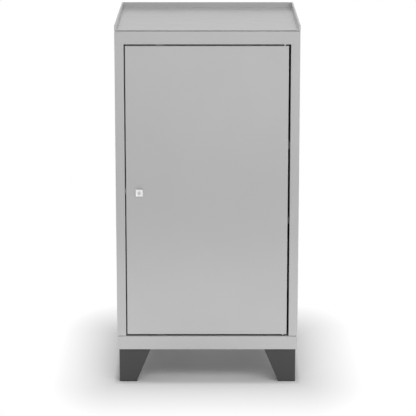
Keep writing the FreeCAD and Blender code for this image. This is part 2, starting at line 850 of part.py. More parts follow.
def hinge_clips():
    """Stamp the two plates that are pushed on the pins' tails."""
    clips = Piece("hinge_clips", "pin_x", solids=2)
    clips.body.setExpression("Placement.Base.y", formula("front + pin_back"))
    half = "snap_size / 2"
    outside = rectangle("-" + half, "-" + half, half, half)
    bore = circle("0", "0", "bush_bore")
    lower = "door_bottom + bracket_height"
    clips.pad("XY", lower, lower + " + snap_gauge", outside, bore)
    upper = "door_top - bracket_height"
    clips.pad("XY", upper + " - snap_gauge", upper, outside, bore)


def hinge_bush(level):
    """Mould a flanged bush: open at the header, closed under the lower pin."""
    sheet_top = "opening_top + gauge" if level == "upper" else "opening_bottom"
    bush = Piece(level + "_hinge_bush", "pin_x")
    bush.body.setExpression("Placement.Base.y", formula("front + pin_back"))
    sleeve = circle("0", "0", "bush_radius")
    bore = circle("0", "0", "bush_bore")
    flange = circle("0", "0", "bush_radius + bush_flange")
    if level == "upper":
        bush.pad("XY", "opening_top", sheet_top, sleeve)
        bush.pad("XY", sheet_top, "opening_top + pin_reach", flange)
        bush.pocket("XY", "opening_top", "opening_top + pin_reach", bore)
    else:
        floor = "opening_bottom - gauge - pin_reach"
        bush.pad("XY", floor + " - bush_wall", sheet_top, sleeve)
        bush.pad("XY", sheet_top, sheet_top + " + gauge", flange)
        bush.pocket("XY", floor, sheet_top + " + gauge", bore)


# ---------------------------------------------------------------- lock, keeper and stops


def lock_housing():
    """Cast the lock's square head and threaded barrel, bored for the plug."""
    housing = Piece("lock_housing", "lock_x", "lock_height")
    half = "lock_head / 2"
    square = rectangle("-(%s)" % half, "-(%s)" % half, half, half)
    housing.pad("XZ", "-lock_proud", "0", square)
    housing.bevel(housing.edges_at("Y", "-lock_proud"), "lock_bevel")
    housing.pad("XZ", "0", "barrel_length", circle("0", "0", "barrel_diameter / 2"))
    housing.pocket("XZ", "-lock_proud", "barrel_length", circle(
        "0", "0", "plug_diameter / 2 + pin_clearance"))


def lock_nut():
    """Make the thin nut that clamps the lock to the door's skin."""
    nut = Piece("lock_nut", "lock_x", "lock_height")
    nut.pad("XZ", "gauge", "gauge + nut_height", hexagon("0", "0", "nut_across"))
    nut.pocket("XZ", "gauge", "gauge + nut_height", circle(
        "0", "0", "barrel_diameter / 2 + bush_fit"))


def lock_plug():
    """Turn the plug, cut its keyway and leave a square tang for the cam."""
    plug = Piece("lock_plug", "lock_x", "lock_height")
    face = "plug_recess - lock_proud"
    plug.pad("XZ", face, "cam_front", circle("0", "0", "plug_diameter / 2"))
    plug.pad("XZ", "cam_front", "cam_back - plug_recess", rectangle(
        "-tang / 2", "-tang / 2", "tang / 2", "tang / 2"))
    plug.pocket("XZ", face, face + " + keyway_depth", rectangle(
        "-keyway_width / 2", "-keyway_height / 2", "keyway_width / 2", "keyway_height / 2"))
    plug.pocket("XZ", "cam_back - screw_length", "cam_back - plug_recess", circle(
        "0", "0", "screw_diameter / 2 + pin_clearance"))


def lock_cam():
    """Stamp the cam that hangs down when the door is free and turns behind the keeper."""
    cam = Piece("lock_cam", "lock_x", "lock_height")
    tip = "cam_length - cam_width / 2"
    cam.pad("XZ", "cam_front", "cam_back", circle("0", "0", "cam_boss / 2"))
    cam.pad("XZ", "cam_front", "cam_back", rectangle(
        "-cam_width / 2", "-(%s)" % tip, "cam_width / 2", "0"))
    cam.pad("XZ", "cam_front", "cam_back", circle("0", "-(%s)" % tip, "cam_width / 2"))
    side = "tang / 2 + pin_clearance"
    cam.pocket("XZ", "cam_front", "cam_back", rectangle(
        "-(%s)" % side, "-(%s)" % side, side, side))


def cam_screw():
    """Turn the screw that clamps the cam to the plug."""
    screw = Piece("cam_screw", "lock_x", "lock_height")
    screw.pad("XZ", "cam_back - screw_length + gauge", "cam_back", circle(
        "0", "0", "screw_diameter / 2"))
    screw.pad("XZ", "cam_back", "cam_back + screw_head_height", circle(
        "0", "0", "screw_head / 2"))


def keeper():
    """Bend the keeper: it stops the door's edge and holds the cam behind it."""
    plate = Piece("keeper")
    foot_face = "-(opening_side + gauge)"
    nose = "door_left + keeper_cover"
    low = "lock_height - keeper_height / 2"
    high = "lock_height + keeper_height / 2"
    plate.pad("XY", low, high, polygon(
        (foot_face, "keeper_front - keeper_foot"),
        (foot_face, "keeper_front"),
        (nose, "keeper_front"),
        (nose, "keeper_front + keeper_gauge"),
        (foot_face + " - keeper_gauge", "keeper_front + keeper_gauge"),
        (foot_face + " - keeper_gauge", "keeper_front - keeper_foot")))
    plate.round(
        plate.edges_along(
            "Z", [(foot_face + " - keeper_gauge", "keeper_front + keeper_gauge")]),
        "keeper_gauge")


def stop_sizes(level):
    """Return a stop's rail face, the sign that leads to the door and its buffer's height."""
    if level == "upper":
        return "opening_top", -1, "opening_top - top_gap - door_lip / 2"
    return "opening_bottom", 1, "opening_bottom + bottom_gap + door_lip / 2"


def door_stop(level):
    """Bend a stop that stands on its rail behind the door's return."""
    face, sign, middle = stop_sizes(level)
    plate_front = "keeper_front + stop_gauge"
    reach = "%s + %d * buffer_height / 2" % (middle, sign)
    stop = Piece(level + "_door_stop")
    left = "door_left + stop_inset"
    stop.pad("YZ", left, left + " + stop_width", polygon(
        (plate_front, face),
        (plate_front, reach),
        (plate_front + " + stop_gauge", reach),
        (plate_front + " + stop_gauge", "%s + %d * stop_gauge" % (face, sign)),
        (plate_front + " + stop_foot", "%s + %d * stop_gauge" % (face, sign)),
        (plate_front + " + stop_foot", face)))


def door_buffers():
    """Cut the two rubber pads that the closed door rests on."""
    buffers = Piece("door_buffers", solids=2)
    left = "door_left + stop_inset"
    half = "(buffer_height / 2 - buffer_inset)"
    pads = []
    for level in ("upper", "lower"):
        middle = stop_sizes(level)[2]
        pads.append(rectangle(
            left + " + buffer_inset", "%s - %s" % (middle, half),
            left + " + stop_width - buffer_inset", "%s + %s" % (middle, half)))
    buffers.pad("XZ", "keeper_front", "keeper_front + stop_gauge", *pads)


# ---------------------------------------------------------------- the whole locker


def build_pieces():
    """Build every sub-part of the locker."""
    for side in SIDES:
        side_panel(side)
    back_panel()
    top_panel()
    floor_pan()
    top_tray()
    for end in ENDS:
        for side in SIDES:
            upright(side, end)
            leg(side, end)
            glide(side, end)
    leg_bolts()
    leg_nuts()
    for level in ("upper", "lower"):
        shelf(level)
        shelf_clips(level)
        hinge_bracket(level)
        hinge_pin(level)
        hinge_bush(level)
        door_stop(level)
    door_buffers()
    keeper()
    door_skin()
    door_stiffener()
    hinge_clips()
    lock_housing()
    lock_nut()
    lock_plug()
    lock_cam()
    cam_screw()


def check_and_write():
    """Stop at a failed object or shape, then write one STEP file for each piece."""
    doc.recompute()
    for item in doc.Objects:
        if "Invalid" in item.State or "Error" in item.State:
            raise ValueError("%s (%s) failed: %s" % (item.Name, item.Label, item.State))
    for piece in Piece.every:
        shape = piece.body.Shape
        if shape.isNull() or not shape.isValid():
            raise ValueError("the shape of %s is not valid" % piece.body.Label)
        if len(shape.Solids) != piece.solids:
            raise ValueError("%s has %d solids" % (piece.body.Label, len(shape.Solids)))
    os.makedirs("parts", exist_ok=True)
    for piece in Piece.every:
        piece.body.Shape.exportStep("parts/%s.step" % piece.body.Label)
    print("%d pieces written" % len(Piece.every))


write_sheets()
build_pieces()
check_and_write()
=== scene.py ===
"""Studio setting for a sheet-steel side locker: its finishes, small hardware, floor and light."""

import logging
import math
from dataclasses import dataclass
from enum import Enum
from typing import Any, Iterable

import bmesh
import bpy
from mathutils import Matrix, Vector


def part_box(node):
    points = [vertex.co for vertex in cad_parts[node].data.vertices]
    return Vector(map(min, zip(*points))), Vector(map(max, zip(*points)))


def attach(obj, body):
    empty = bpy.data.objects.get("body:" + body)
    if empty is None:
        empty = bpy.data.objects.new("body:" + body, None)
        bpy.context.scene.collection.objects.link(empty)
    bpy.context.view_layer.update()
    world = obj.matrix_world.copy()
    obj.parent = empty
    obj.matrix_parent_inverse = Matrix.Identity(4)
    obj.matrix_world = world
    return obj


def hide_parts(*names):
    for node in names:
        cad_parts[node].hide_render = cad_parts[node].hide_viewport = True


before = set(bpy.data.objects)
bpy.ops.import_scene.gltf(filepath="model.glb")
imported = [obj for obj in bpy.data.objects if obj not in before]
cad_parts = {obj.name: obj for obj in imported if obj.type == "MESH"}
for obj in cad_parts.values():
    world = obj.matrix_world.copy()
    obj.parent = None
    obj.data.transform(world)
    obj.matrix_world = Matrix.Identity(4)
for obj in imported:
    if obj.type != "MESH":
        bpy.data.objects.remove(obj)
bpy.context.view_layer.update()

MM = 0.001
LOG = logging.getLogger("side_locker")

EDGE_SAMPLES = 6
FLAT_LIKENESS = 1.0  # cosine between the rounded and the flat normal away from any edge
EDGE_LIKENESS = 0.75  # the same where the surface counts as wholly on an edge
GRAIN_DETAIL = 2.0
GRAIN_ROUGHNESS = 0.5
CLOUD_DETAIL = 3.0
CLOUD_ROUGHNESS = 0.55
CLOUD_LOW = 0.3  # most of a noise lies between these two
CLOUD_HIGH = 0.7

QUARTER_TURN = math.radians(90)
THREAD_STEPS = 24  # in one turn
THREAD_SIDES = 4
WELD_STEPS = 16  # round one ring
WELD_SIDES = 6

Spread = tuple[float, float]  # how far a number wanders below and above its middle
Stops = tuple[tuple[float, float], ...]  # values in rising order, each with its strength


def linear(colour: str) -> tuple[float, float, float, float]:
    """Turn an sRGB hex colour into linear light.

    Args:
        colour: The colour as "#rrggbb".

    Returns:
        Red, green, blue and a full alpha, each from 0 to 1.
    """
    channels = [int(colour[place:place + 2], 16) / 255 for place in (1, 3, 5)]
    lit = [c / 12.92 if c <= 0.04045 else ((c + 0.055) / 1.055) ** 2.4 for c in channels]
    return lit[0], lit[1], lit[2], 1.0


def add_node(
    tree: bpy.types.NodeTree,
    kind: str,
    inputs: dict[Any, Any] | None = None,
    **settings: Any,
) -> bpy.types.Node:
    """Add a node with its settings and links.

    Args:
        tree: The node tree that gets the node.
        kind: The node's type.
        inputs: For each input, by name or number, a value or the socket that feeds it.
        settings: Properties of the node.

    Returns:
        The new node.
    """
    node = tree.nodes.new(kind)
    for name, value in settings.items():
        setattr(node, name, value)
    for key, value in (inputs or {}).items():
        if isinstance(value, bpy.types.NodeSocket):
            tree.links.new(value, node.inputs[key])
        else:
            node.inputs[key].default_value = value
    return node


def new_material(name: str) -> tuple[bpy.types.Material, bpy.types.NodeTree]:
    """Make an empty node material.

    Args:
        name: The material's name.

    Returns:
        The material and its node tree.
    """
    material = bpy.data.materials.new(name)
    material.use_nodes = True
    material.node_tree.nodes.clear()
    return material, material.node_tree


def softened(tree: bpy.types.NodeTree, radius_mm: float) -> bpy.types.NodeSocket:
    """Round the look of an edge, as a coat or a plating rounds it.

    Args:
        tree: The material's node tree.
        radius_mm: The radius of the rounding.

    Returns:
        The normal of the rounded surface.
    """
    bevel = add_node(tree, "ShaderNodeBevel", {"Radius": radius_mm * MM}, samples=EDGE_SAMPLES)
    return bevel.outputs["Normal"]


def edges(tree: bpy.types.NodeTree, rounded: bpy.types.NodeSocket) -> bpy.types.NodeSocket:
    """Find the edges of a piece.

    Args:
        tree: The material's node tree.
        rounded: The normal of the rounded surface.

    Returns:
        A number that is 0 on a flat and rises to 1 on an edge.
    """
    flat = add_node(tree, "ShaderNodeNewGeometry").outputs["Normal"]
    likeness = add_node(tree, "ShaderNodeVectorMath", {
        0: rounded, 1: flat}, operation="DOT_PRODUCT")
    turned = add_node(tree, "ShaderNodeMapRange", {
        "Value": likeness.outputs["Value"],
        "From Min": FLAT_LIKENESS, "From Max": EDGE_LIKENESS})
    return turned.outputs["Result"]


def towards_edges(
    tree: bpy.types.NodeTree,
    edge: bpy.types.NodeSocket,
    flat: bpy.types.NodeSocket,
    sharp: float,
) -> bpy.types.NodeSocket:
    """Let a value change from the flats to the edges.

    Args:
        tree: The material's node tree.
        edge: How far a place is on an edge, from 0 to 1.
        flat: The value on the flats.
        sharp: The value on the edges.

    Returns:
        The value for the whole surface.
    """
    blend = add_node(tree, "ShaderNodeMapRange", {
        "Value": edge, "To Min": flat, "To Max": sharp})
    return blend.outputs["Result"]


def relief(
    tree: bpy.types.NodeTree,
    place: bpy.types.NodeSocket,
    grain_mm: float,
    depth_mm: float,
    rounded: bpy.types.NodeSocket,
) -> bpy.types.NodeSocket:
    """Raise a surface by an even grain.

    Args:
        tree: The material's node tree.
        place: The coordinates of the surface, in metres.
        grain_mm: The distance between two humps.
        depth_mm: The height of a hump.
        rounded: The normal of the surface below the grain.

    Returns:
        The normal of the raised surface.
    """
    grain = add_node(tree, "ShaderNodeTexNoise", {
        "Vector": place, "Scale": 1 / (grain_mm * MM),
        "Detail": GRAIN_DETAIL, "Roughness": GRAIN_ROUGHNESS})
    bump = add_node(tree, "ShaderNodeBump", {
        "Height": grain.outputs["Fac"], "Strength": 1.0,
        "Distance": depth_mm * MM, "Normal": rounded})
    return bump.outputs["Normal"]


def uneven(
    tree: bpy.types.NodeTree,
    place: bpy.types.NodeSocket,
    patch_mm: float,
    middle: float,
    spread: Spread,
) -> bpy.types.NodeSocket:
    """Let a number wander between two values in broad soft patches.

    Args:
        tree: The material's node tree.
        place: The coordinates of the surface, in metres.
        patch_mm: The size of a patch.
        middle: The number to start from.
        spread: What is added to it at the lowest and at the highest.

    Returns:
        The wandering number.
    """
    cloud = add_node(tree, "ShaderNodeTexNoise", {
        "Vector": place, "Scale": 1 / (patch_mm * MM),
        "Detail": CLOUD_DETAIL, "Roughness": CLOUD_ROUGHNESS})
    wander = add_node(tree, "ShaderNodeMapRange", {
        "Value": cloud.outputs["Fac"], "From Min": CLOUD_LOW, "From Max": CLOUD_HIGH,
        "To Min": middle + spread[0], "To Max": middle + spread[1]})
    return wander.outputs["Result"]


def graded(
    tree: bpy.types.NodeTree, value: bpy.types.NodeSocket, stops: Stops
) -> bpy.types.NodeSocket:
    """Turn a value into a strength that changes evenly from stop to stop.

    Args:
        tree: The material's node tree.
        value: The value, such as a distance.
        stops: Values in rising order, each with its strength.

    Returns:
        The strength.
    """
    furthest = stops[-1][0]
    peak = max(strength for _, strength in stops)
    share = add_node(tree, "ShaderNodeMapRange", {"Value": value, "From Max": furthest})
    ramp = add_node(tree, "ShaderNodeValToRGB", {"Fac": share.outputs["Result"]})
    elements = ramp.color_ramp.elements
    for index, (place, strength) in enumerate(stops):
        stop = elements[index] if index < len(elements) else elements.new(place / furthest)
        stop.position = place / furthest
        stop.color = (strength / peak,) * 3 + (1.0,)
    scaled = add_node(tree, "ShaderNodeMath", {
        0: ramp.outputs["Color"], 1: peak}, operation="MULTIPLY")
    return scaled.outputs["Value"]


def finished(
    tree: bpy.types.NodeTree,
    colour: str,
    brightness: bpy.types.NodeSocket,
    inputs: dict[str, Any],
) -> None:
    """End a finish in its shader.

    Args:
        tree: The material's node tree.
        colour: The colour as "#rrggbb".
        brightness: What the colour is multiplied by, place by place.
        inputs: The shader's other inputs.
    """
    tinted = add_node(tree, "ShaderNodeHueSaturation", {
        "Value": brightness, "Color": linear(colour)})
    shader = add_node(tree, "ShaderNodeBsdfPrincipled", {
        "Base Color": tinted.outputs["Color"], **inputs})
    add_node(tree, "ShaderNodeOutputMaterial", {"Surface": shader.outputs["BSDF"]})


@dataclass(frozen=True)
class PowderCoat:
    """Polyester powder, sprayed on steel and baked.

    The eye sees one even colour with a soft sheen, a faint orange peel where a reflection
    crosses it, and a slightly darker, glossier line where the powder thins on an edge.
    """

    name: str
    colour: str
    roughness: float
    ior: float = 1.5
    peel_mm: float = 5.0  # real peel is 2 to 3 mm, which is too fine to show
    peel_depth_mm: float = 0.012
    shade_mm: float = 160.0
    shades: Spread = (-0.012, 0.012)
    sheen_mm: float = 70.0
    sheens: Spread = (-0.02, 0.03)
    edge_mm: float = 0.6
    edge_shade: float = 0.9
    edge_polish: float = 0.04

    def material(self) -> bpy.types.Material:
        """Build the coat's material."""
        material, tree = new_material(self.name)
        place = add_node(tree, "ShaderNodeTexCoord").outputs["Object"]
        rounded = softened(tree, self.edge_mm)
        edge = edges(tree, rounded)
        brightness = uneven(tree, place, self.shade_mm, 1.0, self.shades)
        sheen = uneven(tree, place, self.sheen_mm, self.roughness, self.sheens)
        thinned = towards_edges(tree, edge, brightness, self.edge_shade)
        finished(tree, self.colour, thinned, {
            "Roughness": towards_edges(tree, edge, sheen, self.roughness - self.edge_polish),
            "IOR": self.ior,
            "Normal": relief(tree, place, self.peel_mm, self.peel_depth_mm, rounded)})
        return material


class Working(Enum):
    """How the surface of a metal piece was made."""

    ROLLED = "rolled"
    TURNED = "turned"
    CAST = "cast"


# How the marks are squeezed along each axis; less than 1 draws them out
SQUEEZE = {
    Working.ROLLED: (1.0, 1.0, 0.15),
    Working.TURNED: (1.0, 1.0, 12.0),
    Working.CAST: (1.0, 1.0, 1.0),
}


@dataclass(frozen=True)
class PlatedMetal:
    """Metal with a plated or a bare turned surface.

    The eye sees the room's light in it, blurred by the marks that its working left, with a
    brighter, smoother line along each edge where handling has rubbed it.
    """

    name: str
    colour: str
    roughness: float
    working: Working
    mark_mm: float = 0.8
    mark_depth_mm: float = 0.004
    shade_mm: float = 9.0
    shades: Spread = (-0.06, 0.04)
    blur_mm: float = 4.0
    blurs: Spread = (-0.04, 0.06)
    edge_mm: float = 0.25
    edge_shade: float = 1.08
    edge_polish: float = 0.05

    def material(self) -> bpy.types.Material:
        """Build the metal's material."""
        material, tree = new_material(self.name)
        coordinates = add_node(tree, "ShaderNodeTexCoord").outputs["Object"]
        place = add_node(tree, "ShaderNodeMapping", {
            "Vector": coordinates, "Scale": SQUEEZE[self.working]}).outputs["Vector"]
        rounded = softened(tree, self.edge_mm)
        edge = edges(tree, rounded)
        brightness = uneven(tree, coordinates, self.shade_mm, 1.0, self.shades)
        blur = uneven(tree, place, self.blur_mm, self.roughness, self.blurs)
        rubbed = towards_edges(tree, edge, brightness, self.edge_shade)
        finished(tree, self.colour, rubbed, {
            "Metallic": 1.0,
            "Roughness": towards_edges(tree, edge, blur, self.roughness - self.edge_polish),
            "Normal": relief(tree, place, self.mark_mm, self.mark_depth_mm, rounded)})
        return material


@dataclass(frozen=True)
class Moulding:
    """Moulded plastic or rubber.

    The eye sees a dull skin with the fine grain of the mould.
    """

    name: str
    colour: str
    roughness: float
    ior: float
    grain_mm: float
    grain_depth_mm: float
    shade_mm: float = 12.0
    shades: Spread = (-0.05, 0.06)
    blur_mm: float = 6.0
    blurs: Spread = (-0.05, 0.05)
    edge_mm: float = 0.4

    def material(self) -> bpy.types.Material:
        """Build the moulding's material."""
        material, tree = new_material(self.name)
        place = add_node(tree, "ShaderNodeTexCoord").outputs["Object"]
        rounded = softened(tree, self.edge_mm)
        brightness = uneven(tree, place, self.shade_mm, 1.0, self.shades)
        finished(tree, self.colour, brightness, {
            "Roughness": uneven(tree, place, self.blur_mm, self.roughness, self.blurs),
            "IOR": self.ior,
            "Normal": relief(tree, place, self.grain_mm, self.grain_depth_mm, rounded)})
        return material


Finish = PowderCoat | PlatedMetal | Moulding

CABINET_COAT = PowderCoat("light_grey_powder_coat", "#b9b9b9", 0.20)
SHELF_COAT = PowderCoat("shelf_powder_coat", "#b6b6b6", 0.33)
LEG_COAT = PowderCoat("dark_grey_powder_coat", "#303030", 0.36)
ZINC = PlatedMetal("bright_zinc_plate", "#c6c9cc", 0.34, Working.ROLLED)
LOCK_PLATE = PlatedMetal("satin_nickel_plate_on_die_cast_zinc", "#f0f0f0", 0.46, Working.CAST)
PLUG_PLATE = PlatedMetal("nickel_plated_brass", "#dcdbd9", 0.42, Working.CAST)
PIN_STEEL = PlatedMetal("bright_turned_steel", "#d6d7d8", 0.34, Working.TURNED)
NYLON = Moulding("black_nylon", "#2e2e2f", 0.45, 1.53, 0.5, 0.004)
RUBBER = Moulding("black_rubber", "#1c1c1c", 0.78, 1.52, 0.4, 0.01)
GLIDE_PLASTIC = Moulding("black_polyethylene", "#121213", 0.55, 1.51, 0.6, 0.008)


def made(finish: Finish) -> bpy.types.Material:
    """Return a finish's material, building it the first time.

    Args:
        finish: The finish.

    Returns:
        Its material.
    """
    return bpy.data.materials.get(finish.name) or finish.material()


def dress(finish: Finish, nodes: Iterable[str]) -> None:
    """Give CAD pieces a finish.

    Args:
        finish: The finish.
        nodes: The names of the pieces.
    """
    for name in nodes:
        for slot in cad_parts[name].material_slots:
            slot.material = made(finish)
        LOG.info("%s has %s", name, finish.name)


def link(name: str, mesh: bpy.types.Mesh, body: str) -> bpy.types.Object:
    """Put a finished mesh in the scene as a piece of a body.

    Args:
        name: The piece's name.
        mesh: Its mesh, in place.
        body: The body that it moves with.

    Returns:
        The new piece.
    """
    piece = bpy.data.objects.new(name, mesh)
    bpy.context.scene.collection.objects.link(piece)
    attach(piece, body)
    LOG.info("%s made, %d faces", name, len(mesh.polygons))
    return piece


def facing_back(x: float, y: float, z: float) -> Matrix:
    """Return the turn and move that take something built up Z to a place, pointing at +Y."""
    return Matrix.Translation((x, y, z)) @ Matrix.Rotation(-QUARTER_TURN, 4, "X")


def loose(name: str, shape: bmesh.types.BMesh) -> bpy.types.Object:
    """Turn a shape in mesh code into an object of the scene, and free it.

    Args:
        name: The name of the object and of its mesh.
        shape: The shape.

    Returns:
        The object.
    """
    bmesh.ops.recalc_face_normals(shape, faces=shape.faces)
    mesh = bpy.data.meshes.new(name)
    shape.to_mesh(mesh)
    shape.free()
    piece = bpy.data.objects.new(name, mesh)
    bpy.context.scene.collection.objects.link(piece)
    return piece


class NodeShape:
    """A geometry-nodes tree with named inputs, turned into a plain mesh."""

    def __init__(self, name: str, inputs: dict[str, str]) -> None:
        """Make the tree with its inputs.

        Args:
            name: The tree's name.
            inputs: The type of each named input's socket.
        """
        self.tree = bpy.data.node_groups.new(name, "GeometryNodeTree")
        interface = self.tree.interface
        interface.new_socket("Geometry", in_out="OUTPUT", socket_type="NodeSocketGeometry")
        self.sockets = {
            label: interface.new_socket(label, in_out="INPUT", socket_type=kind).identifier
            for label, kind in inputs.items()}
        self.given = add_node(self.tree, "NodeGroupInput").outputs

    def close(self, geometry: bpy.types.NodeSocket, material: bpy.types.NodeSocket) -> None:
        """End the tree in plain geometry with its material.

        Args:
            geometry: What the tree has made.
            material: The material's input.
        """
        real = add_node(self.tree, "GeometryNodeRealizeInstances", {"Geometry": geometry})
        painted = add_node(self.tree, "GeometryNodeSetMaterial", {
            "Geometry": real.outputs["Geometry"], "Material": material})
        add_node(self.tree, "NodeGroupOutput", {"Geometry": painted.outputs["Geometry"]})

    def mesh(self, values: dict[str, Any], place: Matrix) -> bpy.types.Mesh:
        """Work the tree out.

        Args:
            values: A value for each named input.
            place: Where the result goes.

        Returns:
            The plain mesh.
        """
        holder = bpy.data.objects.new("holder", bpy.data.meshes.new("holder"))
        bpy.context.scene.collection.objects.link(holder)
        modifier = holder.modifiers.new("shape", "NODES")
        modifier.node_group = self.tree
        for name, value in values.items():
            modifier[self.sockets[name]] = value
        shown = holder.evaluated_get(bpy.context.evaluated_depsgraph_get())
        mesh = bpy.data.meshes.new_from_object(shown)
        bpy.data.objects.remove(holder)
        mesh.transform(place)
        return mesh


def thread_shape() -> NodeShape:
    """Build the tree of a screw thread: one ridge wound round Z."""
    shape = NodeShape("screw_thread", {
        "Radius": "NodeSocketFloat", "Depth": "NodeSocketFloat", "Length": "NodeSocketFloat",
        "Turns": "NodeSocketFloat", "Finish": "NodeSocketMaterial"})
    given = shape.given
    ridge = add_node(shape.tree, "GeometryNodeCurveSpiral", {
        "Resolution": THREAD_STEPS, "Rotations": given["Turns"],
        "Start Radius": given["Radius"], "End Radius": given["Radius"],
        "Height": given["Length"]})
    profile = add_node(shape.tree, "GeometryNodeCurvePrimitiveCircle", {
        "Resolution": THREAD_SIDES, "Radius": given["Depth"]})
    wound = add_node(shape.tree, "GeometryNodeCurveToMesh", {
        "Curve": ridge.outputs["Curve"], "Profile Curve": profile.outputs["Curve"],
        "Fill Caps": True})
    shape.close(wound.outputs["Mesh"], given["Finish"])
    return shape


def weld_row_shape() -> NodeShape:
    """Build the tree of a row of spot welds up Z: low rings that lie on a wall facing Y."""
    shape = NodeShape("weld_row", {
        "Count": "NodeSocketInt", "Pitch": "NodeSocketFloat", "Radius": "NodeSocketFloat",
        "Height": "NodeSocketFloat", "Finish": "NodeSocketMaterial"})
    given = shape.given
    path = add_node(shape.tree, "GeometryNodeCurvePrimitiveCircle", {
        "Resolution": WELD_STEPS, "Radius": given["Radius"]})
    profile = add_node(shape.tree, "GeometryNodeCurvePrimitiveCircle", {
        "Resolution": WELD_SIDES, "Radius": given["Height"]})
    ring = add_node(shape.tree, "GeometryNodeCurveToMesh", {
        "Curve": path.outputs["Curve"], "Profile Curve": profile.outputs["Curve"]})
    step = add_node(shape.tree, "ShaderNodeCombineXYZ", {"Z": given["Pitch"]})
    row = add_node(shape.tree, "GeometryNodeMeshLine", {
        "Count": given["Count"], "Offset": step.outputs["Vector"]})
    placed = add_node(shape.tree, "GeometryNodeInstanceOnPoints", {
        "Points": row.outputs["Mesh"], "Instance": ring.outputs["Mesh"],
        "Rotation": (QUARTER_TURN, 0.0, 0.0)})
    shape.close(placed.outputs["Instances"], given["Finish"])
    return shape


@dataclass
class Carcass:
    """The folded cabinet with its shelves, uprights and fixed fittings."""

    weld_pitch: float = 60 * MM
    weld_radius: float = 2.4 * MM
    weld_height: float = 0.18 * MM
    weld_inset: float = 8 * MM

    def dress_all(self) -> None:
        """Give every piece its finish."""
        dress(CABINET_COAT, (
            "left_side_panel", "right_side_panel", "back_panel",
            "top_panel", "floor_pan", "top_tray"))
        dress(SHELF_COAT, (
            "upper_shelf", "lower_shelf", "front_left_upright", "front_right_upright",
            "rear_left_upright", "rear_right_upright"))
        dress(ZINC, ("upper_shelf_clips", "lower_shelf_clips", "keeper",
                     "upper_door_stop", "lower_door_stop"))
        dress(NYLON, ("upper_hinge_bush", "lower_hinge_bush"))
        dress(RUBBER, ("door_buffers",))

    def back_welds(self) -> None:
        """Mark the spot welds that hold the back panel on its flanges."""
        low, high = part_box("back_panel")
        span = high.z - low.z
        count = int(span / self.weld_pitch)
        start = low.z + (span - (count - 1) * self.weld_pitch) / 2
        shape = weld_row_shape()
        sides = {"left": low.x + self.weld_inset, "right": high.x - self.weld_inset}
        for side, across in sides.items():
            mesh = shape.mesh({
                "Count": count, "Pitch": self.weld_pitch, "Radius": self.weld_radius,
                "Height": self.weld_height, "Finish": made(CABINET_COAT),
            }, Matrix.Translation((across, high.y, start)))
            link("back_welds_" + side, mesh, "cabinet")

    def make(self) -> None:
        """Dress the carcass and add its small marks."""
        self.dress_all()
        self.back_welds()


@dataclass
class Undercarriage:
    """The four legs with their glides, bolts and nuts."""

    def make(self) -> None:
        """Dress the legs and their fasteners."""
        corners = [end + "_" + side for end in ("front", "rear") for side in ("left", "right")]
        dress(LEG_COAT, [corner + "_leg" for corner in corners])
        dress(GLIDE_PLASTIC, [corner + "_glide" for corner in corners])
        dress(ZINC, ("leg_bolts", "leg_nuts"))


@dataclass
class Door:
    """The flush door with its stiffener, pivots and lock body."""

    barrel_radius: float = 8 * MM
    thread_depth: float = 0.35 * MM
    thread_pitch: float = 1.5 * MM

    def barrel_thread(self) -> None:
        """Wind the thread on the lock's barrel, behind its nut."""
        nut_low, nut_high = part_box("lock_nut")
        housing_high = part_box("lock_housing")[1]
        length = housing_high.y - nut_high.y
        centre = (nut_low + nut_high) / 2
        mesh = thread_shape().mesh({
            "Radius": self.barrel_radius, "Depth": self.thread_depth, "Length": length,
            "Turns": length / self.thread_pitch, "Finish": made(LOCK_PLATE),
        }, facing_back(centre.x, nut_high.y, centre.z))
        link("barrel_thread", mesh, "door")

    def make(self) -> None:
        """Dress the door and add the thread."""
        dress(CABINET_COAT, ("door_skin", "door_stiffener"))
        dress(ZINC, ("upper_hinge_bracket", "lower_hinge_bracket", "lock_nut"))
        dress(PIN_STEEL, ("upper_hinge_pin", "lower_hinge_pin", "hinge_clips"))
        dress(LOCK_PLATE, ("lock_housing",))
        self.barrel_thread()


